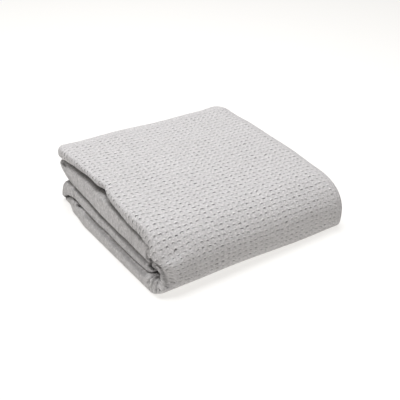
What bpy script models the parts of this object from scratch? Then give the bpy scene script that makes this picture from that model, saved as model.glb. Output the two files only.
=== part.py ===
"""A honeycomb pique blanket, folded into a thick square stack.

One cloth, folded in half twice lengthwise into a strip of four layers, then the strip is folded in half twice
crosswise. The strip runs over the top, round the front, along the bottom, up at the back, forward, round once more
inside the front, and back. X runs along the front, +Y goes to the back, +Z is up, in metres.
"""

import math

import bmesh
import bpy

# Driving dimensions of the stack
STACK_WIDTH = 0.388
STACK_DEPTH = 0.366
STACK_HEIGHT = 0.115
CLOTH_THICKNESS = 0.0024
CLOTH_LAYERS = 16
LAYER_PITCH = (STACK_HEIGHT - CLOTH_THICKNESS) / (CLOTH_LAYERS - 1)

# The strip: levels of its four cloth layers, counted in layer pitches from its middle
OUTER_LEVEL = 1.5
INNER_LEVEL = 0.5
STRIP_PITCH = 4 * LAYER_PITCH
STRIP_HALF = OUTER_LEVEL * LAYER_PITCH + CLOTH_THICKNESS / 2

# Lengthwise folds and hems, across the strip from its left edge
OUTER_FOLD_DEPTH = 0.008
INNER_FOLD_SETBACK = 0.022
INNER_FOLD_DEPTH = 0.004
RIGHT_FOLD_DEPTH = 0.005
TOP_HEM_SETBACK = 0.003
INNER_HEM_SETBACK = 0.009
OUTER_FOLD_STEPS = 6
SMALL_FOLD_STEPS = 4
LAYER_STEPS = 6

# Crosswise route of the strip's middle line, seen from its right side
FREE_END_SETBACK = 0.003
SECOND_END_SETBACK = 0.008
FRONT_TOP_RADIUS = 0.060
FRONT_BOTTOM_RADIUS = 0.018
TURN_RADIUS = STRIP_PITCH / 2
FRONT_TURN_SETBACK = 0.054

# The stack is lower towards its front and its right side, where the folds press it flat
FRONT_HEIGHT_SHARE = 0.88
LOW_UNTIL = 0.030
FULL_FROM = 0.250
RIGHT_HEIGHT_SHARE = 0.95
RIGHT_DROOP = 0.006
RIGHT_REACH = 0.040

# One row for each run and turn of the strip, in route order.
# pitch, shift: distance of the cloth layers, and how far they move to the strip's outer side
RUNS = {
    "top": {"pitch": LAYER_PITCH, "shift": 0.0},
    "front top": {"pitch": 0.0062, "shift": 0.0019},
    "front": {"pitch": 0.0060, "shift": 0.0022},
    "front bottom": {"pitch": 0.0060, "shift": 0.0022},
    "bottom": {"pitch": LAYER_PITCH, "shift": 0.0},
    "back": {"pitch": 0.0068, "shift": 0.0010},
    "third": {"pitch": LAYER_PITCH, "shift": 0.0},
    "inner": {"pitch": 0.0056, "shift": 0.0},
    "second": {"pitch": LAYER_PITCH, "shift": 0.0},
}

# The left face, by distance from the front: heights of the creases between its four bands. The band under the top
# run ends at gap, and the top run hangs down to lip, so the space between them stands open.
EDGE_REACH = 0.075
LEFT_FACE = {
    "y": (0.020, 0.060, 0.100, 0.130, 0.152, 0.175, 0.210, 0.250, 0.300, 0.340, 0.366),
    "crease_34": (0.023, 0.024, 0.025, 0.026, 0.028, 0.030, 0.031, 0.034, 0.035, 0.022, 0.017),
    "crease_23": (0.032, 0.037, 0.041, 0.045, 0.047, 0.049, 0.052, 0.055, 0.058, 0.056, 0.051),
    "gap": (0.057, 0.068, 0.073, 0.076, 0.079, 0.081, 0.083, 0.084, 0.084, 0.083, 0.079),
    "lip": (0.070, 0.080, 0.083, 0.088, 0.091, 0.102, 0.102, 0.102, 0.097, 0.092, 0.085),
    "top": (0.101, 0.103, 0.107, 0.110, 0.112, 0.115, 0.116, 0.117, 0.117, 0.116, 0.113),
}
EVEN_HEIGHTS = {
    "crease_34": 3.5 * LAYER_PITCH + CLOTH_THICKNESS / 2,
    "crease_23": 7.5 * LAYER_PITCH + CLOTH_THICKNESS / 2,
    "gap": 11 * LAYER_PITCH + CLOTH_THICKNESS,
    "lip": 12 * LAYER_PITCH,
    "top": STACK_HEIGHT,
}

# How far the left edge stands in (positive) or bulges out, by distance from the front for the level runs,
# and its outer and inner side for the turns. The farthest of it is the bulge.
LEFT_BULGE = 0.006
EDGE_INSETS = {
    "y": (0.030, 0.060, 0.110, 0.150, 0.180, 0.210, 0.250, 0.300, 0.345, 0.366),
    "top": (0.000, 0.000, -0.001, 0.002, 0.008, 0.002, 0.002, 0.001, 0.000, 0.004),
    "bottom": (-0.006, -0.006, -0.006, -0.006, -0.006, -0.006, -0.006, -0.005, -0.002, 0.004),
    "third": (0.006, 0.002, 0.000, -0.001, 0.000, -0.001, -0.001, 0.000, 0.003, 0.010),
    "second": (0.010, 0.004, 0.000, -0.002, -0.003, -0.003, -0.001, 0.000, 0.001, 0.006),
}
TURN_INSETS = {
    "front top": {"outer": 0.001, "inner": -0.003},
    "front": {"outer": 0.024, "inner": 0.000},
    "front bottom": {"outer": -0.004, "inner": -0.003},
    "back": {"outer": 0.012, "inner": 0.006},
    "inner": {"outer": 0.006, "inner": 0.010},
}

# Slow unevenness of the layers, none on the underside
WAVE_HEIGHT = 0.0010
WAVE_ACROSS = 0.17
WAVE_ALONG = 0.14

CLOTH_COLOUR = (0.72, 0.71, 0.71, 1.0)
CLOTH_ROUGHNESS = 0.95


def smooth_step(value):
    value = min(max(value, 0.0), 1.0)
    return value * value * (3.0 - 2.0 * value)


def look_up(places, values, place):
    """The value at a place in a short table, with smooth steps between its rows."""
    if place <= places[0]:
        return values[0]
    for start, end, first, last in zip(places, places[1:], values, values[1:]):
        if place <= end:
            return first + (last - first) * smooth_step((place - start) / (end - start))
    return values[-1]


def half_turn(steps):
    """Angles of a fold's half turn, without its two ends."""
    return [math.pi * step / steps for step in range(1, steps)]


def spread(start, end, steps):
    return [start + (end - start) * step / steps for step in range(steps + 1)]


def strip_section():
    """Points (distance from the left edge, level) across the strip, from the top hem to the inner hem."""
    outer_start = OUTER_FOLD_DEPTH
    inner_start = INNER_FOLD_SETBACK + INNER_FOLD_DEPTH
    right_start = STACK_WIDTH - RIGHT_FOLD_DEPTH
    points = [(x, OUTER_LEVEL) for x in spread(STACK_WIDTH - TOP_HEM_SETBACK, outer_start, LAYER_STEPS)]
    for angle in half_turn(OUTER_FOLD_STEPS):
        points.append((outer_start - OUTER_FOLD_DEPTH * math.sin(angle), OUTER_LEVEL * math.cos(angle)))
    points += [(x, -OUTER_LEVEL) for x in spread(outer_start, right_start, LAYER_STEPS)]
    for angle in half_turn(SMALL_FOLD_STEPS):
        level = -(OUTER_LEVEL + INNER_LEVEL) / 2 - (OUTER_LEVEL - INNER_LEVEL) / 2 * math.cos(angle)
        points.append((right_start + RIGHT_FOLD_DEPTH * math.sin(angle), level))
    points += [(x, -INNER_LEVEL) for x in spread(right_start, inner_start, LAYER_STEPS)]
    for angle in half_turn(SMALL_FOLD_STEPS):
        points.append((inner_start - INNER_FOLD_DEPTH * math.sin(angle), -INNER_LEVEL * math.cos(angle)))
    points += [(x, INNER_LEVEL) for x in spread(inner_start, STACK_WIDTH - INNER_HEM_SETBACK, LAYER_STEPS)]
    return points


def strip_route():
    """Stations of the strip's middle line: shares of the rows that shape it, y, z and heading."""
    front = STRIP_HALF
    back = STACK_DEPTH - STRIP_HALF - TURN_RADIUS
    top_run = STACK_DEPTH - FREE_END_SETBACK - front - FRONT_TOP_RADIUS
    front_face = 3 * STRIP_PITCH - FRONT_TOP_RADIUS - FRONT_BOTTOM_RADIUS
    bottom_run = back - front - FRONT_BOTTOM_RADIUS
    third_run = back - FRONT_TURN_SETBACK
    second_run = STACK_DEPTH - SECOND_END_SETBACK - FRONT_TURN_SETBACK
    # run, its length and steps, the turn at its end, degrees to the left, radius, steps, the run after it
    legs = (
        ("top", top_run, 9, "front top", 90, FRONT_TOP_RADIUS, 6, "front"),
        ("front", front_face, 1, "front bottom", 90, FRONT_BOTTOM_RADIUS, 4, "bottom"),
        ("bottom", bottom_run, 8, "back", 180, TURN_RADIUS, 6, "third"),
        ("third", third_run, 8, "inner", -180, TURN_RADIUS, 6, "second"),
        ("second", second_run, 8, None, 0, 0.0, 0, None),
    )
    y, z, heading = STACK_DEPTH - FREE_END_SETBACK, STACK_HEIGHT - STRIP_HALF, math.pi
    stations = [({"top": 1.0}, y, z, heading)]
    for run, length, steps, turn, degrees, radius, turn_steps, next_run in legs:
        for _ in range(steps):
            y += length / steps * math.cos(heading)
            z += length / steps * math.sin(heading)
            stations.append(({run: 1.0}, y, z, heading))
        for step in range(1, turn_steps + 1):
            angle = math.radians(degrees) / turn_steps
            chord = 2 * radius * math.sin(abs(angle) / 2)
            y += chord * math.cos(heading + angle / 2)
            z += chord * math.sin(heading + angle / 2)
            heading += angle
            share = 2 * step / turn_steps
            shares = {run: max(1 - share, 0.0), turn: 1 - abs(share - 1), next_run: max(share - 1, 0.0)}
            stations.append((shares, y, z, heading))
    return stations


def run_value(shares, name):
    return sum(share * RUNS[run][name] for run, share in shares.items())


def edge_inset(shares, y, level):
    """How far the left edge stands in at a level of the strip."""
    outer_share = 0.5 + level / (2 * OUTER_LEVEL)
    inset = 0.0
    for run, share in shares.items():
        if run in TURN_INSETS:
            row = TURN_INSETS[run]
            inset += share * (row["outer"] * outer_share + row["inner"] * (1 - outer_share))
        else:
            inset += share * look_up(EDGE_INSETS["y"], EDGE_INSETS[run], y)
    return inset


def left_height(y, z):
    """Height at the left face of what lies at height z in the even stack."""
    even_low, real_low = 0.0, 0.0
    for name, even in EVEN_HEIGHTS.items():
        real = look_up(LEFT_FACE["y"], LEFT_FACE[name], y)
        if z <= even or name == "top":
            return real_low + (z - even_low) * (real - real_low) / (even - even_low)
        even_low, real_low = even, real


def settled(x, y, z):
    """Height of a point after the stack settles: lower in front and on the right, uneven on the left."""
    front = FRONT_HEIGHT_SHARE + (1 - FRONT_HEIGHT_SHARE) * smooth_step((y - LOW_UNTIL) / (FULL_FROM - LOW_UNTIL))
    right = 1 - (1 - RIGHT_HEIGHT_SHARE) * smooth_step(x / STACK_WIDTH)
    left = smooth_step(1.0 - x / EDGE_REACH)
    share = z / STACK_HEIGHT
    droop = RIGHT_DROOP * share * share * smooth_step(1 - (STACK_WIDTH - x) / RIGHT_REACH) ** 2
    wave = math.sin(math.tau * (x / WAVE_ACROSS + share)) * math.cos(math.tau * y / WAVE_ALONG)
    wave_height = WAVE_HEIGHT * smooth_step(4 * share - 0.3)
    middle = z * front * right - droop + wave_height * wave
    return middle * (1 - left) + left_height(y, z) * left


def cloth_point(station, across, level):
    """Where a point of the cloth lies in the folded stack."""
    shares, y, z, heading = station
    offset = run_value(shares, "shift") + level * run_value(shares, "pitch")
    x = across + edge_inset(shares, y, level) * smooth_step(1.0 - across / EDGE_REACH)
    y += offset * math.sin(heading)
    z -= offset * math.cos(heading)
    underside = CLOTH_THICKNESS / 2
    middle_x = (STACK_WIDTH - LEFT_BULGE) / 2
    return x - middle_x, y - STACK_DEPTH / 2, underside + settled(x, y, z - underside)


def make_cloth(collection):
    """The folded sheet: a grid whose rows follow the strip's section and whose columns follow its route."""
    section = strip_section()
    route = strip_route()
    mesh = bpy.data.meshes.new("blanket")
    bm = bmesh.new()
    bmesh.ops.create_grid(bm, x_segments=len(section) - 1, y_segments=len(route) - 1, size=1.0)
    for vertex in bm.verts:
        column = round((vertex.co.x + 1.0) / 2.0 * (len(section) - 1))
        row = round((vertex.co.y + 1.0) / 2.0 * (len(route) - 1))
        vertex.co = cloth_point(route[row], *section[column])
    bm.to_mesh(mesh)
    bm.free()
    mesh.shade_smooth()
    cloth = bpy.data.objects.new("blanket", mesh)
    collection.objects.link(cloth)
    thicken = cloth.modifiers.new("Cloth thickness", "SOLIDIFY")
    thicken.thickness = CLOTH_THICKNESS
    thicken.offset = 0.0
    thicken.use_even_offset = True
    return cloth


def cotton():
    material = bpy.data.materials.new("white cotton pique")
    material.use_nodes = True
    shader = material.node_tree.nodes["Principled BSDF"]
    shader.inputs["Base Color"].default_value = CLOTH_COLOUR
    shader.inputs["Roughness"].default_value = CLOTH_ROUGHNESS
    shader.inputs["Metallic"].default_value = 0.0
    return material


def clear_scene():
    for thing in list(bpy.data.objects):
        bpy.data.objects.remove(thing, do_unlink=True)


clear_scene()
blanket_parts = bpy.data.collections.new("pique blanket")
bpy.context.scene.collection.children.link(blanket_parts)
make_cloth(blanket_parts).data.materials.append(cotton())
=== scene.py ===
import math

import bmesh
import bpy
import numpy as np
from mathutils import Matrix, Vector


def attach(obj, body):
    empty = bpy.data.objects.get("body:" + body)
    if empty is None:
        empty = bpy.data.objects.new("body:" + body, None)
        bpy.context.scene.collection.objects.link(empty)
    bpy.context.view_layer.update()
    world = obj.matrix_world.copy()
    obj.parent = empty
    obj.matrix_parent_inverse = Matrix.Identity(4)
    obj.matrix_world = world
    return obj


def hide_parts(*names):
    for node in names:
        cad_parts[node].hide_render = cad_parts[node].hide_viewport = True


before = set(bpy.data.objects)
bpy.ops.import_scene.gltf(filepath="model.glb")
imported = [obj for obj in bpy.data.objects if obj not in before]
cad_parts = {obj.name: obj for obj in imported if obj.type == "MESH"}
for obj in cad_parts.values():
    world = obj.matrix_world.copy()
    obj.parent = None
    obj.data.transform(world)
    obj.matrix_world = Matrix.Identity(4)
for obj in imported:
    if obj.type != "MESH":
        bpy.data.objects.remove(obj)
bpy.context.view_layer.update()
scene = bpy.context.scene
scene.view_settings.view_transform = "Standard"

# The view. A camera on a tripod looks down on the stack from in front and to its left, with a slight roll,
# through a lens a little longer than a normal one, so the stack's edges hardly run together.
IMAGE_PIXELS = 400
SENSOR_WIDTH = 36.0
FOCAL_PIXELS = 700
NEAREST_SEEN = 0.05
CAMERA_AZIMUTH = math.radians(-36.98)
CAMERA_ELEVATION = math.radians(31.24)
CAMERA_ROLL = math.radians(2.29)
CAMERA_DISTANCE = 1.292
CAMERA_RIGHT = 0.0054
CAMERA_UP = -0.0173
AIM = Vector((0.0, 0.0, 0.05))

back = Vector((
    math.sin(CAMERA_AZIMUTH) * math.cos(CAMERA_ELEVATION),
    -math.cos(CAMERA_AZIMUTH) * math.cos(CAMERA_ELEVATION),
    math.sin(CAMERA_ELEVATION),
))
level_right = Vector((math.cos(CAMERA_AZIMUTH), math.sin(CAMERA_AZIMUTH), 0.0))
level_up = back.cross(level_right)
right = level_right * math.cos(CAMERA_ROLL) + level_up * math.sin(CAMERA_ROLL)
up = level_up * math.cos(CAMERA_ROLL) - level_right * math.sin(CAMERA_ROLL)
eye = AIM + back * CAMERA_DISTANCE + right * CAMERA_RIGHT + up * CAMERA_UP
camera_data = bpy.data.cameras.new("camera")
camera_data.sensor_width = SENSOR_WIDTH
camera_data.lens = FOCAL_PIXELS * SENSOR_WIDTH / IMAGE_PIXELS
camera_data.clip_start = NEAREST_SEEN
camera = bpy.data.objects.new("camera", camera_data)
camera.matrix_world = Matrix((
    (right.x, up.x, back.x, eye.x),
    (right.y, up.y, back.y, eye.y),
    (right.z, up.z, back.z, eye.z),
    (0.0, 0.0, 0.0, 1.0),
))
scene.collection.objects.link(camera)
scene.camera = camera

# The studio. A pale table top with a plain finish stands under one wide soft light, in a room that is
# bright low down and dim overhead. So the top of the stack is its lightest side, and the shadows are soft.
FLOOR_HALF = 40.0
FLOOR_COLOUR = (0.35, 0.35, 0.35, 1.0)
FLOOR_ROUGHNESS = 0.9
FLOOR_GLOW = 0.70
WARM_WHITE = (1.0, 0.983, 0.952, 1.0)
HORIZON_LIGHT = 0.84
HORIZON_UNTIL = 0.05
ROOM_LIGHT = 0.15
ROOM_FROM = 0.35
SOFTBOX_SIZE = 1.3
SOFTBOX_POWER = 54.0
SOFTBOX_COLOUR = (0.98, 0.985, 1.0)
SOFTBOX_PLACE = Vector((-0.12, 0.26, 2.1))

floor_bm = bmesh.new()
bmesh.ops.create_grid(floor_bm, x_segments=1, y_segments=1, size=FLOOR_HALF)
floor_mesh = bpy.data.meshes.new("table_top")
floor_bm.to_mesh(floor_mesh)
floor_bm.free()
table_top = bpy.data.objects.new("table_top", floor_mesh)
scene.collection.objects.link(table_top)
pale = bpy.data.materials.new("pale table top")
pale.use_nodes = True
pale_shader = pale.node_tree.nodes["Principled BSDF"]
pale_shader.inputs["Base Color"].default_value = FLOOR_COLOUR
pale_shader.inputs["Roughness"].default_value = FLOOR_ROUGHNESS
pale_shader.inputs["Specular IOR Level"].default_value = 0.0
pale_shader.inputs["Emission Color"].default_value = WARM_WHITE
pale_shader.inputs["Emission Strength"].default_value = FLOOR_GLOW
floor_mesh.materials.append(pale)


class Value:
    """One value in a material's nodes. An expression on values adds its Math nodes."""

    def __init__(self, tree, socket):
        self.tree = tree
        self.socket = socket

    def output(self, name):
        """Another output of the same node."""
        return Value(self.tree, self.socket.node.outputs[name])

    def math(self, operation, *others):
        """An operation on this value and others."""
        return node(self.tree, "ShaderNodeMath", {"operation": operation}, dict(enumerate((self, *others))))

    def __add__(self, other):
        return self.math("ADD", other)

    __radd__ = __add__

    def __mul__(self, other):
        return self.math("MULTIPLY", other)

    __rmul__ = __mul__

    def __sub__(self, other):
        return self.math("SUBTRACT", other)

    def __rsub__(self, other):
        return node(self.tree, "ShaderNodeMath", {"operation": "SUBTRACT"}, {0: other, 1: self})

    def __truediv__(self, other):
        return self.math("DIVIDE", other)


def node(tree, kind, settings, inputs, output=0):
    """A node with its settings, then its inputs as numbers or links, and the value at one of its outputs."""
    made = tree.nodes.new(kind)
    for name, value in settings.items():
        setattr(made, name, value)
    for name, value in inputs.items():
        if isinstance(value, Value):
            tree.links.new(value.socket, made.inputs[name])
        else:
            made.inputs[name].default_value = value
    return Value(tree, made.outputs[output])


def ramp(value, low, high, at_low=0.0, at_high=1.0):
    """One number up to low and another from high on, smooth between them."""
    return node(
        value.tree, "ShaderNodeMapRange", {"interpolation_type": "SMOOTHSTEP"},
        {"Value": value, "From Min": low, "From Max": high, "To Min": at_low, "To Max": at_high},
    )


room = bpy.data.worlds.new("room")
room.use_nodes = True
room_way = node(room.node_tree, "ShaderNodeTexCoord", {}, {}, "Generated")
room_height = node(room.node_tree, "ShaderNodeSeparateXYZ", {}, {"Vector": room_way}, "Z")
room_light = ramp(room_height, HORIZON_UNTIL, ROOM_FROM, HORIZON_LIGHT, ROOM_LIGHT)
background = room.node_tree.nodes["Background"]
background.inputs["Color"].default_value = WARM_WHITE
room.node_tree.links.new(room_light.socket, background.inputs["Strength"])
scene.world = room

softbox_data = bpy.data.lights.new("softbox", "AREA")
softbox_data.size = SOFTBOX_SIZE
softbox_data.energy = SOFTBOX_POWER
softbox_data.color = SOFTBOX_COLOUR
softbox = bpy.data.objects.new("softbox", softbox_data)
softbox.location = SOFTBOX_PLACE
softbox.rotation_mode = "QUATERNION"
softbox.rotation_quaternion = (AIM - SOFTBOX_PLACE).to_track_quat("-Z", "Y")
scene.collection.objects.link(softbox)

# The blanket. One cotton cloth, woven in honeycomb pique with small pits in straight rows, hemmed on its
# four sides. It is folded in half twice lengthwise into a strip of four layers, then twice crosswise.
STACK_WIDTH = 0.388
STACK_DEPTH = 0.366
STACK_HEIGHT = 0.115
CLOTH_THICKNESS = 0.0024
STRIP_LAYERS = 4
CLOTH_LAYERS = 4 * STRIP_LAYERS
LAYER_PITCH = (STACK_HEIGHT - CLOTH_THICKNESS) / (CLOTH_LAYERS - 1)
STRIP_PITCH = STRIP_LAYERS * LAYER_PITCH

# Levels of the strip's outer and inner layers, in layer pitches from its middle
OUTER = (STRIP_LAYERS - 1) / 2
INNER = OUTER - 1
STRIP_HALF = OUTER * LAYER_PITCH + CLOTH_THICKNESS / 2

# Across the strip, from the top hem to the inner hem: each layer, and the lengthwise fold at its end.
# from, to: distance from the left edge; level: in layer pitches from the strip's middle; reach: how far
# a fold stands out; steps: of the coarse sheet, where the weave's cells don't divide it
TOP_EDGE = STACK_WIDTH - 0.003
INNER_EDGE = STACK_WIDTH - 0.009
LEFT_FOLD = 0.008
LEFT_FOLD_END = 0.028
RIGHT_FOLD = STACK_WIDTH - 0.005
INNER_FOLD = 0.026
ACROSS = (
    {"from": TOP_EDGE, "to": LEFT_FOLD, "level": (OUTER, OUTER), "reach": 0.0},
    {"from": LEFT_FOLD, "to": LEFT_FOLD, "level": (OUTER, -OUTER), "reach": -0.008, "steps": 8},
    {"from": LEFT_FOLD, "to": LEFT_FOLD_END, "level": (-OUTER, -OUTER), "reach": 0.0, "steps": 2},
    {"from": LEFT_FOLD_END, "to": RIGHT_FOLD, "level": (-OUTER, -OUTER), "reach": 0.0, "steps": 8},
    {"from": RIGHT_FOLD, "to": RIGHT_FOLD, "level": (-OUTER, -INNER), "reach": 0.005, "steps": 6},
    {"from": RIGHT_FOLD, "to": INNER_FOLD, "level": (-INNER, -INNER), "reach": 0.0, "steps": 8},
    {"from": INNER_FOLD, "to": INNER_FOLD, "level": (-INNER, INNER), "reach": -0.004, "steps": 6},
    {"from": INNER_FOLD, "to": INNER_EDGE, "level": (INNER, INNER), "reach": 0.0, "steps": 8},
)

# Along the strip, from its free end on top: each run and turn of its middle line. length, or turn (degrees
# to the left) and radius; pitch, shift: of the layers, towards the outer side; steps: as above
FREE_END = STACK_DEPTH - 0.003
INNER_END = STACK_DEPTH - 0.004
TURN_RADIUS = STRIP_PITCH / 2
FRONT_TURN = 0.054
TOP_RADIUS = 0.060
BOTTOM_RADIUS = 0.018
BACK_TURN = STACK_DEPTH - STRIP_HALF - TURN_RADIUS
FRONT_HEIGHT = 3 * STRIP_PITCH
ALONG = (
    {"run": "top", "length": FREE_END - STRIP_HALF - TOP_RADIUS, "pitch": LAYER_PITCH, "shift": 0.0},
    {"run": "front top", "turn": 90, "radius": TOP_RADIUS, "pitch": 0.0062, "shift": 0.0019},
    {"run": "front", "length": FRONT_HEIGHT - TOP_RADIUS - BOTTOM_RADIUS, "pitch": 0.0060, "shift": 0.0022},
    {"run": "front bottom", "turn": 90, "radius": BOTTOM_RADIUS, "pitch": 0.0060, "shift": 0.0022},
    {"run": "bottom", "length": BACK_TURN - STRIP_HALF - BOTTOM_RADIUS, "pitch": LAYER_PITCH, "shift": 0.0,
     "steps": 12},
    {"run": "back", "turn": 180, "radius": TURN_RADIUS, "pitch": 0.0068, "shift": 0.0010, "steps": 10},
    {"run": "third", "length": BACK_TURN - FRONT_TURN, "pitch": LAYER_PITCH, "shift": 0.0, "steps": 11},
    {"run": "inner", "turn": -180, "radius": TURN_RADIUS, "pitch": 0.0056, "shift": 0.0, "steps": 10},
    {"run": "second", "length": INNER_END - FRONT_TURN, "pitch": LAYER_PITCH, "shift": 0.0, "steps": 11},
)


def table(names, *rows):
    """The columns of a short table, by name."""
    return dict(zip(names, zip(*rows)))


# The left face, by distance from the front: heights of the creases between bands 3 and 4 and bands 2 and 3,
# of the open gap under the top run, of the run's lip and of the top; then their heights in an even stack
EDGE_REACH = 0.075
LEFT_FACE = table(
    ("y", "crease_34", "crease_23", "gap", "lip", "top"),
    (0.004, 0.026, 0.048, 0.0670, 0.0740, 0.101),
    (0.020, 0.036, 0.043, 0.0590, 0.0660, 0.101),
    (0.036, 0.028, 0.039, 0.0630, 0.0695, 0.102),
    (0.052, 0.023, 0.036, 0.0670, 0.0735, 0.103),
    (0.066, 0.023, 0.037, 0.0710, 0.0775, 0.104),
    (0.073, 0.023, 0.038, 0.0755, 0.0825, 0.104),
    (0.086, 0.023, 0.040, 0.0775, 0.0845, 0.106),
    (0.104, 0.024, 0.043, 0.0795, 0.0867, 0.108),
    (0.122, 0.025, 0.045, 0.0830, 0.0905, 0.109),
    (0.138, 0.026, 0.046, 0.0860, 0.0935, 0.111),
    (0.158, 0.027, 0.048, 0.0890, 0.0965, 0.113),
    (0.172, 0.027, 0.049, 0.0900, 0.0990, 0.114),
    (0.181, 0.027, 0.050, 0.0920, 0.1070, 0.115),
    (0.190, 0.027, 0.050, 0.0930, 0.1140, 0.116),
    (0.203, 0.027, 0.051, 0.0920, 0.1080, 0.116),
    (0.219, 0.028, 0.053, 0.0910, 0.1060, 0.117),
    (0.250, 0.030, 0.056, 0.0925, 0.1080, 0.117),
    (0.300, 0.033, 0.057, 0.0905, 0.1030, 0.117),
    (0.335, 0.021, 0.053, 0.0880, 0.0990, 0.116),
    (0.352, 0.014, 0.050, 0.0860, 0.0950, 0.115),
    (0.366, 0.010, 0.048, 0.0850, 0.0905, 0.113),
)
EVEN_HEIGHTS = {
    "crease_34": (STRIP_LAYERS - 0.5) * LAYER_PITCH + CLOTH_THICKNESS / 2,
    "crease_23": (2 * STRIP_LAYERS - 0.5) * LAYER_PITCH + CLOTH_THICKNESS / 2,
    "gap": (3 * STRIP_LAYERS - 1) * LAYER_PITCH + CLOTH_THICKNESS,
    "lip": 3 * STRIP_LAYERS * LAYER_PITCH,
    "top": STACK_HEIGHT,
}

# How far the left edge stands in or bulges out: by distance from the front for the level runs, and at the
# outer and inner side of the turns
LEFT_BULGE = 0.006
TOP_INSETS = table(
    ("y", "inset"),
    (0.030, 0.000),
    (0.060, 0.000),
    (0.110, -0.003),
    (0.150, -0.002),
    (0.174, 0.000),
    (0.190, 0.004),
    (0.204, 0.003),
    (0.215, 0.001),
    (0.300, 0.001),
    (0.345, 0.000),
    (0.366, 0.004),
)
EDGE_INSETS = table(
    ("y", "bottom", "third", "second"),
    (0.030, -0.006, 0.006, 0.010),
    (0.060, -0.006, 0.002, 0.005),
    (0.110, -0.006, 0.000, 0.002),
    (0.150, -0.006, -0.001, 0.000),
    (0.180, -0.006, 0.000, -0.001),
    (0.210, -0.006, -0.001, -0.001),
    (0.250, -0.006, -0.001, 0.000),
    (0.300, -0.001, 0.000, 0.001),
    (0.345, 0.009, 0.005, 0.002),
    (0.366, 0.018, 0.012, 0.006),
)
TURN_INSETS = {
    "front top": (0.001, -0.003),
    "front": (0.024, 0.000),
    "front bottom": (-0.004, -0.003),
    "back": (0.005, 0.006),
    "inner": (0.006, 0.010),
}

# The folds on the left: rounder where the outer run goes round them, swollen in the level runs, and in the
# second run slanted towards the back
FOLD_CORNER = 0.0036
ROLL_CORNER = 0.008
SWELL = 0.2
SWELL_REACH = 0.045
SLANT = 0.046
SLANT_FROM = 0.250
SLANT_CURVE = 2.2
SLANT_LIMIT = 1.2

# How the stack settles: lower in front and on the right, with its lower front corner on the right squared,
# a hump at the back on the right, and slow waves
FRONT_SHARE = 0.88
LOW_UNTIL = 0.030
FULL_FROM = 0.250
RIGHT_SHARE = 0.95
RIGHT_DROOP = 0.006
RIGHT_REACH = 0.040
SQUARE_PUSH = 0.007
SQUARE_FROM = 0.120
SQUARE_UNTIL = 0.320
SQUARE_REACH = 0.060
HUMP_PLACE = (STACK_WIDTH - 0.018, STACK_DEPTH - 0.010)
HUMP_HEIGHT = 0.004
HUMP_REACH = 0.055
WAVE_HEIGHT = 0.0010
WAVE_ACROSS = 0.17
WAVE_ALONG = 0.14
WAVE_FROM = 0.075
WAVE_FADE = 0.25
TINY = 1e-6

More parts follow.
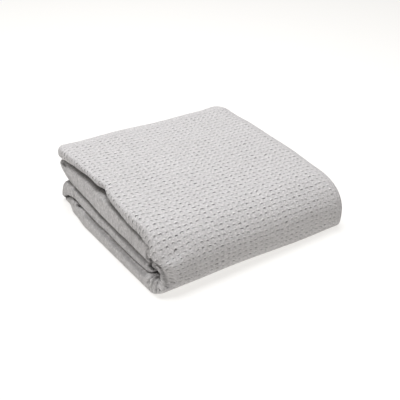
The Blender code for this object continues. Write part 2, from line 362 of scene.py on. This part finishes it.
# Creases of the left face, by distance from the front and height: sharp where its folds are crumpled, and
# soft troughs along its bands. Each crease also darkens the cloth with painted shade, the more the deeper it
# is
CREASES = (
    # Under the lip, at the nest and behind it
    {"depth": 0.007, "half_width": 0.0035, "points": (
        (0.080, 0.079), (0.072, 0.0765), (0.063, 0.0765), (0.053, 0.078), (0.046, 0.077),
    )},
    {"depth": 0.003, "half_width": 0.003, "points": (
        (0.172, 0.0945), (0.158, 0.0927), (0.138, 0.0897), (0.122, 0.0867), (0.104, 0.0831), (0.086, 0.081),
    )},
    {"depth": 0.004, "half_width": 0.0025, "points": ((0.086, 0.084), (0.081, 0.079), (0.080, 0.073))},
    # Soft troughs along the tops of bands 2, 3 and 4, shallow dents darkened with painted shade
    {"depth": 0.0025, "half_width": 0.007, "points": (
        (0.186, 0.095), (0.172, 0.0915), (0.158, 0.090), (0.138, 0.087), (0.122, 0.084), (0.104, 0.0805),
        (0.086, 0.078), (0.072, 0.074),
    )},
    {"depth": 0.002, "half_width": 0.005, "points": (
        (0.300, 0.055), (0.250, 0.054), (0.190, 0.048), (0.158, 0.046), (0.122, 0.043), (0.086, 0.038),
        (0.062, 0.035),
    )},
    {"depth": 0.002, "half_width": 0.006, "points": (
        (0.250, 0.027), (0.190, 0.024), (0.158, 0.024), (0.122, 0.023), (0.086, 0.020), (0.052, 0.020),
    )},
    # The nest where the strip turns inside the front: a lens, a dent painted as its shadow, a recess, the
    # wrap's edge, a hook
    {"depth": 0.005, "half_width": 0.003, "points": (
        (0.045, 0.077), (0.051, 0.072), (0.057, 0.064), (0.061, 0.056), (0.060, 0.050),
    )},
    {"depth": 0.006, "half_width": 0.0035, "points": ((0.060, 0.051), (0.060, 0.045), (0.050, 0.048))},
    {"depth": 0.003, "half_width": 0.008, "points": ((0.043, 0.050), (0.039, 0.042), (0.033, 0.036))},
    {"depth": 0.004, "half_width": 0.0025, "points": (
        (0.045, 0.077), (0.0435, 0.070), (0.0435, 0.061), (0.037, 0.059), (0.032, 0.059), (0.025, 0.057),
        (0.018, 0.053),
    )},
    {"depth": 0.002, "half_width": 0.003, "points": ((0.018, 0.053), (0.014, 0.046), (0.013, 0.038))},
    {"depth": 0.008, "half_width": 0.004, "points": (
        (0.045, 0.051), (0.050, 0.044), (0.0515, 0.037), (0.046, 0.034), (0.036, 0.033), (0.026, 0.034),
        (0.022, 0.033),
    )},
    # Pleats that run down the front corner from the nest
    {"depth": 0.0025, "half_width": 0.0025, "points": ((0.030, 0.034), (0.040, 0.014))},
    {"depth": 0.0015, "half_width": 0.0025, "points": ((0.024, 0.034), (0.030, 0.010))},
    {"depth": 0.002, "half_width": 0.0025, "points": ((0.018, 0.034), (0.018, 0.012))},
    {"depth": 0.002, "half_width": 0.0025, "points": ((0.013, 0.034), (0.006, 0.020))},
    # The turn at the back, with its wedge and small pleats
    {"depth": 0.006, "half_width": 0.0035, "points": (
        (0.356, 0.008), (0.350, 0.012), (0.328, 0.024), (0.303, 0.032), (0.288, 0.034), (0.274, 0.031),
    )},
    {"depth": 0.006, "half_width": 0.0035, "points": ((0.276, 0.032), (0.290, 0.026))},
    {"depth": 0.002, "half_width": 0.003, "points": ((0.300, 0.028), (0.306, 0.018))},
    {"depth": 0.002, "half_width": 0.003, "points": ((0.316, 0.032), (0.322, 0.043))},
    {"depth": 0.002, "half_width": 0.003, "points": ((0.298, 0.038), (0.305, 0.050))},
    {"depth": 0.003, "half_width": 0.003, "points": ((0.356, 0.082), (0.346, 0.086), (0.334, 0.086))},
)


def smooth_step(value):
    """0 up to 0, 1 from 1 on, smooth between them."""
    value = np.clip(value, 0.0, 1.0)
    return value * value * (3.0 - 2.0 * value)


def look_up(columns, name, y):
    """One column of a short table by distance from the front, with smooth steps between its rows."""
    places, values = np.array(columns["y"]), np.array(columns[name])
    row = np.clip(np.searchsorted(places, y), 1, len(places) - 1)
    start, end = places[row - 1], places[row]
    return values[row - 1] + (values[row] - values[row - 1]) * smooth_step((y - start) / (end - start))


def quarter_round(reach, corner):
    """The length of cloth in one round corner of a fold."""
    return math.pi * np.sqrt((reach ** 2 + corner ** 2) / 2) / 2


def fold_profile(share, half_height, reach, corner):
    """How far a fold stands out and its height, at a share of its cloth: a side between two round corners."""
    corner = np.minimum(corner, half_height)
    arc = quarter_round(reach, corner)
    side = 2 * (half_height - corner)
    distance = share * (2 * arc + side)
    first = np.clip(distance / arc, 0.0, 1.0) * math.pi / 2
    last = np.clip((distance - arc - side) / arc, 0.0, 1.0) * math.pi / 2
    out = reach * (np.sin(first) - 1 + np.cos(last))
    height = half_height - corner * (1 - np.cos(first) + np.sin(last)) - np.clip(distance - arc, 0.0, side)
    return out, height


# The length of cloth in each layer and fold across, and in each run and turn along the outer layer
for row in ACROSS:
    half_height = abs(row["level"][0] - row["level"][1]) * LAYER_PITCH / 2
    corner = min(abs(row["reach"]), half_height, FOLD_CORNER)
    round_part = 2 * quarter_round(row["reach"], corner)
    row["cloth"] = abs(row["to"] - row["from"]) or round_part + 2 * (half_height - corner)
for row in ALONG:
    outer = OUTER * row["pitch"] + row["shift"]
    side = math.copysign(1.0, row.get("turn", 1))
    row["cloth"] = row.get("length") or math.radians(abs(row["turn"])) * (row["radius"] + side * outer)
CLOTH_ACROSS = sum(row["cloth"] for row in ACROSS)
CLOTH_ALONG = sum(row["cloth"] for row in ALONG)

# The first and last runs fade out over this length past the cloth's ends
PAST_END = 1.0


def place_across(u, corner):
    """Distance from the left edge and level in the strip, of places across the flat cloth."""
    across, level = np.zeros_like(u), np.zeros_like(u)
    start = 0.0
    for row in ACROSS:
        share = (u - start) / row["cloth"]
        first, last = row["level"]
        new_across = row["from"] + (row["to"] - row["from"]) * share
        new_level = np.full_like(u, first)
        if first != last:
            half_height = abs(first - last) * LAYER_PITCH / 2
            out, height = fold_profile(share, half_height, abs(row["reach"]), corner)
            new_across = new_across + math.copysign(1.0, row["reach"]) * out
            new_level = (first + last) / 2 + math.copysign(1.0, first - last) * height / LAYER_PITCH
        across = np.where(u >= start, new_across, across)
        level = np.where(u >= start, new_level, level)
        start += row["cloth"]
    return across, level


def place_along(v):
    """y, z and heading of the strip's middle line, of places along the flat cloth."""
    all_y, all_z, all_heading = np.zeros_like(v), np.zeros_like(v), np.zeros_like(v)
    y, z, heading = FREE_END, STACK_HEIGHT - STRIP_HALF, math.pi
    start = 0.0
    for row in ALONG:
        share = (v - start) / row["cloth"]
        if "turn" in row:
            turn = math.radians(row["turn"])
            arm = math.copysign(row["radius"], turn)
            middle_y, middle_z = y - arm * math.sin(heading), z + arm * math.cos(heading)
            new_heading = heading + turn * share
            new_y, new_z = middle_y + arm * np.sin(new_heading), middle_z - arm * np.cos(new_heading)
            heading += turn
            y, z = middle_y + arm * math.sin(heading), middle_z - arm * math.cos(heading)
        else:
            new_heading = np.full_like(v, heading)
            new_y = y + row["length"] * share * math.cos(heading)
            new_z = z + row["length"] * share * math.sin(heading)
            y, z = y + row["length"] * math.cos(heading), z + row["length"] * math.sin(heading)
        here = v >= start
        all_y, all_z = np.where(here, new_y, all_y), np.where(here, new_z, all_z)
        all_heading = np.where(here, new_heading, all_heading)
        start += row["cloth"]
    return all_y, all_z, all_heading


def run_shares(v):
    """How much of each run or turn shapes the places along the cloth: a turn comes in and goes out slowly."""
    shares = {}
    start = 0.0
    for index, row in enumerate(ALONG):
        end = start + row["cloth"]
        if "turn" in row:
            places, values = (start, (start + end) / 2, end), (0.0, 1.0, 0.0)
        else:
            before = ALONG[index - 1]["cloth"] / 2 if index else PAST_END
            after = ALONG[index + 1]["cloth"] / 2 if index + 1 < len(ALONG) else PAST_END
            places, values = (start - before, start, end, end + after), (0.0, 1.0, 1.0, 0.0)
        shares[row["run"]] = np.interp(v, places, values)
        start = end
    return shares


def outer_share(level):
    """How far out a level of the strip lies: 0 at its inner side and 1 at its outer side."""
    return 0.5 + level / (2 * OUTER)


def edge_inset(shares, y, level):
    """How far the left edge stands in at levels of the strip."""
    outer = outer_share(level)
    inset = 0.0
    for run, share in shares.items():
        if run in TURN_INSETS:
            outer_side, inner_side = TURN_INSETS[run]
            inset = inset + share * (outer_side * outer + inner_side * (1 - outer))
        elif run == "top":
            inset = inset + share * look_up(TOP_INSETS, "inset", y)
        else:
            inset = inset + share * look_up(EDGE_INSETS, run, y)
    return inset


def left_height(y, z):
    """Heights at the left face of what lies at height z in the even stack."""
    even_low, real_low = 0.0, 0.0
    height = np.zeros_like(z)
    for name, even in EVEN_HEIGHTS.items():
        real = look_up(LEFT_FACE, name, y)
        above = real_low + (z - even_low) * (real - real_low) / (even - even_low)
        height = np.where((z > even_low) | (even_low == 0.0), above, height)
        even_low, real_low = even, real
    return height


def settled(x, y, z):
    """Heights after the stack settles: lower in front and on the right, uneven on the left."""
    front = FRONT_SHARE + (1 - FRONT_SHARE) * smooth_step((y - LOW_UNTIL) / (FULL_FROM - LOW_UNTIL))
    right_side = 1 - (1 - RIGHT_SHARE) * smooth_step(x / STACK_WIDTH)
    left = smooth_step(1.0 - x / EDGE_REACH)
    share = z / STACK_HEIGHT
    droop = RIGHT_DROOP * share * share * smooth_step(1 - (STACK_WIDTH - x) / RIGHT_REACH) ** 2
    from_hump = np.hypot(x - HUMP_PLACE[0], y - HUMP_PLACE[1])
    hump = HUMP_HEIGHT * share * smooth_step(1 - from_hump / HUMP_REACH)
    wave = np.sin(math.tau * (x / WAVE_ACROSS + share)) * np.cos(math.tau * y / WAVE_ALONG)
    wave = WAVE_HEIGHT * smooth_step((share - WAVE_FROM) / WAVE_FADE) * wave
    middle = z * front * right_side - droop + hump + wave
    return middle * (1 - left) + left_height(y, z) * left


def squared(x, y, z):
    """y and z after the lower front corner on the right is pushed out."""
    from_corner = np.hypot(y, z) + TINY
    push = SQUARE_PUSH * smooth_step((x - SQUARE_FROM) / (SQUARE_UNTIL - SQUARE_FROM))
    push = push * smooth_step(1 - from_corner / SQUARE_REACH) / from_corner
    return y - push * y, z - push * z


def folded(u, v):
    """Where places of the flat cloth's middle surface lie in the folded stack."""
    y, z, heading = place_along(v)
    shares = run_shares(v)
    rolled = shares["top"] + shares["front top"] + shares["front"] + shares["front bottom"]
    across, level = place_across(u, FOLD_CORNER + (ROLL_CORNER - FOLD_CORNER) * rolled)
    in_runs = sum(share for run, share in shares.items() if run in EDGE_INSETS or run == "top")
    level = level * (1 + SWELL * in_runs * smooth_step(1 - across / SWELL_REACH))
    pitch = sum(share * row["pitch"] for share, row in zip(shares.values(), ALONG))
    shift = sum(share * row["shift"] for share, row in zip(shares.values(), ALONG))
    left = smooth_step(1.0 - across / EDGE_REACH)
    x = across + edge_inset(shares, y, level) * left
    slant = smooth_step((y - SLANT_FROM) / (STACK_DEPTH - SLANT_FROM))
    slant = slant * np.clip(outer_share(level), 0.0, SLANT_LIMIT) ** SLANT_CURVE
    y = y - SLANT * slant * left * shares["second"]
    offset = shift + level * pitch
    y = y + offset * np.sin(heading)
    z = z - offset * np.cos(heading) - CLOTH_THICKNESS / 2
    y, z = squared(x, y, z)
    height = CLOTH_THICKNESS / 2 + np.maximum(settled(x, y, z), 0.0)
    return np.stack([x - (STACK_WIDTH - LEFT_BULGE) / 2, y - STACK_DEPTH / 2, height], axis=-1)


def crease_depth(y, z):
    """How deep the creases lie at places of the left face."""
    deepest = np.zeros_like(y)
    for crease in CREASES:
        nearest = np.full_like(y, np.inf)
        for (start_y, start_z), (end_y, end_z) in zip(crease["points"], crease["points"][1:]):
            way_y, way_z = end_y - start_y, end_z - start_z
            share = ((y - start_y) * way_y + (z - start_z) * way_z) / (way_y ** 2 + way_z ** 2)
            share = np.clip(share, 0.0, 1.0)
            distance = np.hypot(y - start_y - share * way_y, z - start_z - share * way_z)
            nearest = np.minimum(nearest, distance)
        deepest = np.maximum(deepest, crease["depth"] * smooth_step(1 - nearest / crease["half_width"]))
    return deepest


# The flat cloth is cut as a thin slab, and its upper skin is divided finely where it shows: on the top,
# round the front and the back, and over the lengthwise fold on the left
CELLS_ACROSS = 32.5
CELL_ACROSS = ACROSS[0]["cloth"] / CELLS_ACROSS
CELL_ALONG = 0.0096
UNDER_FOLD = 0.020
OVER_FOLD = 0.022
BESIDE_FOLD = 0.010
BEFORE_FRONT = 0.045
BEHIND_FRONT = 0.030
BESIDE_TURN = 0.040
FACES_UP = 0.5


def even_steps(rows, start):
    """Places at even steps over some rows of the cloth."""
    places = [start]
    for row in rows:
        places += [start + row["cloth"] * step / row["steps"] for step in range(1, row["steps"] + 1)]
        start += row["cloth"]
    return places


def runs_along(edge):
    """Whether an edge of the flat cloth runs along it rather than across."""
    way = edge.verts[0].co - edge.verts[1].co
    return abs(way.y) > abs(way.x)


def divide(low, high, cuts, along):
    """Cuts the upper skin's edges that run across, or along, between two corners of the flat cloth."""
    edges = []
    for face in cloth_bm.faces:
        middle = face.calc_center_median()
        if face.normal.z > FACES_UP and low[0] < middle.x < high[0] and low[1] < middle.y < high[1]:
            edges += [edge for edge in face.edges if runs_along(edge) == along]
    edges = list(dict.fromkeys(edges))
    bmesh.ops.subdivide_edges(cloth_bm, edges=edges, cuts=cuts, use_grid_fill=True)


run_starts = {}
start = 0.0
for row in ALONG:
    run_starts[row["run"]] = start
    start += row["cloth"]
fold_start = ACROSS[0]["cloth"]
fold_end = fold_start + ACROSS[1]["cloth"]
wrap_end = run_starts["bottom"]
columns = [CELL_ACROSS * cell for cell in range(math.ceil(CELLS_ACROSS))]
columns += even_steps(ACROSS[1:], fold_start)
rows = [CELL_ALONG * cell for cell in range(math.ceil(wrap_end / CELL_ALONG) + 1)]
inside_rows = even_steps([row for row in ALONG if "steps" in row], wrap_end)
rows += [place for place in inside_rows if place > rows[-1] + CELL_ALONG / 2]

cloth_bm = bmesh.new()
bmesh.ops.create_grid(cloth_bm, x_segments=len(columns) - 1, y_segments=len(rows) - 1, size=1.0)
for vertex in cloth_bm.verts:
    column = round((vertex.co.x + 1.0) / 2.0 * (len(columns) - 1))
    row = round((vertex.co.y + 1.0) / 2.0 * (len(rows) - 1))
    vertex.co = (columns[column], rows[row], 0.0)
bmesh.ops.solidify(cloth_bm, geom=cloth_bm.faces[:], thickness=CLOTH_THICKNESS)
bmesh.ops.recalc_face_normals(cloth_bm, faces=cloth_bm.faces[:])
low_z = min(vertex.co.z for vertex in cloth_bm.verts)
for vertex in cloth_bm.verts:
    vertex.co.z -= low_z + CLOTH_THICKNESS / 2

over_start, under_end = fold_start - OVER_FOLD, fold_end + UNDER_FOLD
nest_left, nest_right = fold_start - BESIDE_FOLD, fold_end + BESIDE_FOLD
front_start, front_end = run_starts["front"] - BEFORE_FRONT, run_starts["bottom"] + BEHIND_FRONT
turn_start, turn_end = run_starts["inner"] - BESIDE_TURN, run_starts["second"] + BESIDE_TURN
back_start, back_end = run_starts["back"], run_starts["third"]
divide((0.0, 0.0), (fold_start, wrap_end), cuts=4, along=False)
divide((0.0, 0.0), (under_end, wrap_end), cuts=3, along=True)
divide((fold_start, 0.0), (fold_end, CLOTH_ALONG), cuts=3, along=False)
divide((fold_end, 0.0), (under_end, CLOTH_ALONG), cuts=4, along=False)
divide((over_start, wrap_end), (fold_start, CLOTH_ALONG), cuts=4, along=False)
divide((over_start, wrap_end), (under_end, CLOTH_ALONG), cuts=7, along=True)
divide((nest_left, front_start), (nest_right, front_end), cuts=1, along=True)
divide((nest_left, turn_start), (nest_right, turn_end), cuts=2, along=True)
divide((0.0, back_start), (over_start, back_end), cuts=4, along=False)
divide((0.0, back_start), (over_start, back_end), cuts=2, along=True)
bmesh.ops.triangulate(cloth_bm, faces=[face for face in cloth_bm.faces if len(face.verts) > 4])

# The weave's pits lie in slightly uneven rows and stop at the hem. They are shallow over the folds on the
# left, where the cloth is pulled smooth, and at the front corner.
PIT_DEPTH = 0.0004
PIT_HALF = 0.0042
PIT_RIM = 1.15
PIT_WALL = 0.8
PIT_SEED = 7
PIT_SPREAD = 0.2
PIT_SHARES = (0.5, 1.5)
PIT_TABLE = (400, 400)
HEM_WIDTH = 0.009
HEM_FADE = 0.004
END_HEM_MORE = 0.008
PULLED_REACH = 0.012
PULLED_FADE = 0.020
PULLED_LOSS = 0.75
CORNER_ALONG = 0.060
CORNER_ACROSS = 0.050
CORNER_LOSS = 0.75
CREASE_REACH = 0.030
CREASE_FACING = -0.1
CREASE_FADE = 0.4
# A crease this deep darkens the cloth with the full painted shade
DEEP_CREASE = 0.0055
SLOPE_STEP = 0.0004


def slow_wave(u, v, height, across, along):
    """A wave over the flat cloth, by its lengths across and along."""
    return height * np.sin(math.tau * (u / across + v / along))


cloth_mesh = bpy.data.meshes.new("pique_blanket")
cloth_bm.to_mesh(cloth_mesh)
cloth_bm.free()
flat_places = np.empty(len(cloth_mesh.vertices) * 3)
cloth_mesh.vertices.foreach_get("co", flat_places)
u, v, skin = flat_places.reshape(-1, 3).T
middle_surface = folded(u, v)
way_across = folded(u + SLOPE_STEP, v) - folded(u - SLOPE_STEP, v)
way_along = folded(u, v + SLOPE_STEP) - folded(u, v - SLOPE_STEP)
outward = np.cross(way_across, way_along)
outward /= np.linalg.norm(outward, axis=1, keepdims=True)

to_side = np.minimum(u, CLOTH_ACROSS - u)
to_end = np.minimum(v, CLOTH_ALONG - v)
cells_shown = smooth_step((np.minimum(to_side, to_end - END_HEM_MORE) - HEM_WIDTH) / HEM_FADE)
from_fold = np.maximum(np.maximum(fold_start - u, u - fold_end), 0.0)
pulled = smooth_step(1 - from_fold / PULLED_REACH) * smooth_step((v - wrap_end) / PULLED_FADE)
near_corner = smooth_step(1 - np.abs(v - run_starts["front bottom"]) / CORNER_ALONG)
near_corner = near_corner * smooth_step(1 - from_fold / CORNER_ACROSS)
woven_u = u + slow_wave(u, v, height=0.0006, across=0.11, along=0.043)
woven_u += slow_wave(u, v, height=0.0004, across=0.027, along=-0.07)
woven_v = v + slow_wave(u, v, height=0.0005, across=0.037, along=0.13)
pit_column = np.floor(woven_u / CELL_ACROSS).astype(int)
pit_row = np.floor(woven_v / CELL_ALONG).astype(int)
pit_shares = np.random.default_rng(PIT_SEED).normal(1.0, PIT_SPREAD, PIT_TABLE).clip(*PIT_SHARES)
pit_share = pit_shares[pit_column % PIT_TABLE[0], pit_row % PIT_TABLE[1]]
pit_depth = pit_share * cells_shown * (1 - PULLED_LOSS * pulled)
pit_u = (woven_u / CELL_ACROSS - pit_column - 0.5) * CELL_ACROSS / PIT_HALF
pit_v = (woven_v / CELL_ALONG - pit_row - 0.5) * CELL_ALONG / PIT_HALF
relief = -PIT_DEPTH * pit_depth * smooth_step((PIT_RIM - np.hypot(pit_u, pit_v)) / PIT_WALL)
relief = relief * (1 - CORNER_LOSS * near_corner)
creased = crease_depth(middle_surface[:, 1] + STACK_DEPTH / 2, middle_surface[:, 2])
creased *= smooth_step((-outward[:, 0] - CREASE_FACING) / CREASE_FADE) * (from_fold < CREASE_REACH)
offset = skin + np.where(skin > 0, relief, 0.0) - creased
placed = middle_surface + outward * offset[:, None]

cloth_uv = cloth_mesh.uv_layers.new(name="cloth")
corners = np.empty(len(cloth_mesh.loops), dtype=np.int32)
cloth_mesh.loops.foreach_get("vertex_index", corners)
woven_places = np.stack([woven_u[corners], woven_v[corners]], axis=-1)
cloth_uv.uv.foreach_set("vector", woven_places.astype(np.float32).ravel())
# The points keep how smooth the cloth is pulled, how deep its pits are, and how deep its creases are, which
# sets their painted shade
marks = {"pulled": pulled, "pit_depth": pit_depth, "creased": creased / DEEP_CREASE}
for name, values in marks.items():
    attribute = cloth_mesh.attributes.new(name, "FLOAT", "POINT")
    attribute.data.foreach_set("value", values.astype(np.float32))
cloth_mesh.vertices.foreach_set("co", placed.astype(np.float32).ravel())
cloth_mesh.update()
cloth_mesh.shade_smooth()
blanket = bpy.data.objects.new("pique_blanket", cloth_mesh)
scene.collection.objects.link(blanket)

# The cotton is pale grey yarn, soft and matt. Each pit has a brow darkened with painted shade, a hollow with
# a little painted shade and a loop of yarn beside it lightened with a painted highlight. Pulled smooth, the
# cloth shows its fine ribs, and a line of stitches holds the hem. Places are metres on the flat cloth.
YARN_COLOUR = (0.722, 0.700, 0.697)
YARN_SHADE = 1.47
YARN_ROUGHNESS = 0.95
YARN_GLOSS = 0.2
YARN_SHEEN = 0.1
YARN_SHEEN_ROUGHNESS = 0.5
BUMP_HEIGHT = 0.001
BROW_BACK = 0.0026
BROW_CURVE = 130.0
BROW_SIDES = (0.0016, 0.0035)
BROW_BAND = (-0.0007, 0.0001, 0.0004, 0.0020)
HOLLOW_BAND = (-0.0006, 0.0006, 0.0008, 0.0052)
LOOP_BAND = (-0.0028, -0.0016, -0.0012, -0.0004)
FLECK_LIMITS = (0.56, 0.70)
RIB_PITCH = 0.0031
RIB_WANDER = 4.0
PULLED_YARN = (14.0, 90.0, 0.0)
STITCH_PLACE = 0.0075
STITCH_LENGTH = 0.0040
STITCH_SIDES = (0.0003, 0.0009)
STITCH_ENDS = (-0.6, 0.2)
CREASE_SHADE = 0.85

cotton = bpy.data.materials.new("grey cotton pique")
cotton.use_nodes = True
tree = cotton.node_tree


def attribute_value(name):
    """A value kept on the blanket's points."""
    return node(tree, "ShaderNodeAttribute", {"attribute_name": name}, {}, "Fac")


def noise(place, scale, detail, roughness=0.5):
    """Uneven values between 0 and 1, about 0.5 on average."""
    inputs = {"Vector": place, "Scale": scale, "Detail": detail, "Roughness": roughness}
    return node(tree, "ShaderNodeTexNoise", {}, inputs)


def shifted(place, *shifts):
    """A place in cells, shifted by each noise up to half of its number of cells either way."""
    return place + sum((uneven - 0.5) * cells for uneven, cells in shifts)


def band(value, begins, full, fades, ends):
    """1 between two numbers, with a smooth start and end."""
    return ramp(value, begins, full) * (1 - ramp(value, fades, ends))


cloth_place = node(tree, "ShaderNodeUVMap", {"uv_map": "cloth"}, {})
cloth_u = node(tree, "ShaderNodeSeparateXYZ", {}, {"Vector": cloth_place}, "X")
cloth_v = cloth_u.output("Y")
smooth_cloth = attribute_value("pulled")

loose_yarn = noise(cloth_place, scale=300.0, detail=1.0)
crossing_yarn = noise(cloth_place, scale=210.0, detail=1.0)
uneven_columns = noise(cloth_place, scale=75.0, detail=1.0)
uneven_rows = noise(cloth_place, scale=60.0, detail=1.0)
cells_across = shifted(cloth_u / CELL_ACROSS, (loose_yarn, 0.25), (uneven_columns, 0.5))
cells_along = shifted(cloth_v / CELL_ALONG, (crossing_yarn, 0.30), (uneven_rows, 0.4))
across_cell = (cells_across.math("FRACT") - 0.5) * CELL_ACROSS
along_cell = (cells_along.math("FRACT") - 0.5) * CELL_ALONG
from_brow = along_cell + BROW_BACK - across_cell * across_cell * BROW_CURVE
in_pit = (1 - ramp(across_cell.math("ABSOLUTE"), *BROW_SIDES)) * attribute_value("pit_depth")
# Painted shade darkens each pit's brow, where its far wall lies in shade; the bump dents it too
brow_dent_and_shade = band(from_brow, *BROW_BAND) * in_pit
# A little painted shade darkens each pit's hollow, which the bump also sinks
hollow_dent_and_shade = band(from_brow, *HOLLOW_BAND) * in_pit
# A painted highlight lightens the loop of yarn beside each pit, where its near wall faces the light; the bump
# raises it too
loop_rise_and_highlight = band(from_brow, *LOOP_BAND) * in_pit

fuzz = noise(cloth_place, scale=260.0, detail=3.0, roughness=0.8)
flecks = ramp(noise(cloth_place, scale=420.0, detail=1.0), *FLECK_LIMITS)
patches = noise(cloth_place, scale=9.0, detail=2.0)
stretched = node(tree, "ShaderNodeVectorMath", {"operation": "MULTIPLY"}, {0: cloth_place, 1: PULLED_YARN})
pulls = noise(stretched, scale=1.0, detail=2.0) * smooth_cloth
rib_turn = cloth_v * (math.tau / RIB_PITCH) + loose_yarn * RIB_WANDER
ribs = (rib_turn.math("SINE") * 0.5 + 0.5) * smooth_cloth

from_side = cloth_u.math("MINIMUM", CLOTH_ACROSS - cloth_u)
from_end = cloth_v.math("MINIMUM", CLOTH_ALONG - cloth_v) - END_HEM_MORE
from_stitches = from_side.math("MINIMUM", from_end) - STITCH_PLACE
stitch_turn = (cloth_u + cloth_v) * (math.tau / STITCH_LENGTH)
stitches = 1 - ramp(from_stitches.math("ABSOLUTE"), *STITCH_SIDES)
stitches = stitches * ramp(stitch_turn.math("SINE"), *STITCH_ENDS)

# How much each mark lightens the yarn, and how far it stands up in bump heights
tones = (
    (brow_dent_and_shade, -0.46), (hollow_dent_and_shade, -0.06), (loop_rise_and_highlight, 0.24), (fuzz, -1.25), (flecks, 0.16), (patches, 0.07),
    (pulls, -0.35), (smooth_cloth, 0.175), (ribs, -0.06), (stitches, -0.2),
)
rises = (
    (fuzz, 3.4), (hollow_dent_and_shade, -0.7), (brow_dent_and_shade, -0.25), (loop_rise_and_highlight, 0.4), (ribs, 0.35), (pulls, 3.2), (stitches, -0.7),
)
shade = sum((tone * mark for mark, tone in tones), YARN_SHADE)
# Painted shade darkens the cotton in its creases, more where they are deeper
shade = shade * (1.0 - CREASE_SHADE * attribute_value("creased").math("MINIMUM", 1.0))
height = sum(rise * mark for mark, rise in rises)
colour = node(tree, "ShaderNodeVectorMath", {"operation": "SCALE"}, {0: YARN_COLOUR, "Scale": shade})
bump = node(tree, "ShaderNodeBump", {}, {"Strength": 1.0, "Distance": BUMP_HEIGHT, "Height": height})
shader = tree.nodes["Principled BSDF"]
tree.links.new(colour.socket, shader.inputs["Base Color"])
tree.links.new(bump.socket, shader.inputs["Normal"])
shader.inputs["Roughness"].default_value = YARN_ROUGHNESS
shader.inputs["Specular IOR Level"].default_value = YARN_GLOSS
shader.inputs["Sheen Weight"].default_value = YARN_SHEEN
shader.inputs["Sheen Roughness"].default_value = YARN_SHEEN_ROUGHNESS
cloth_mesh.materials.append(cotton)

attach(blanket, "root")
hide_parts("blanket")
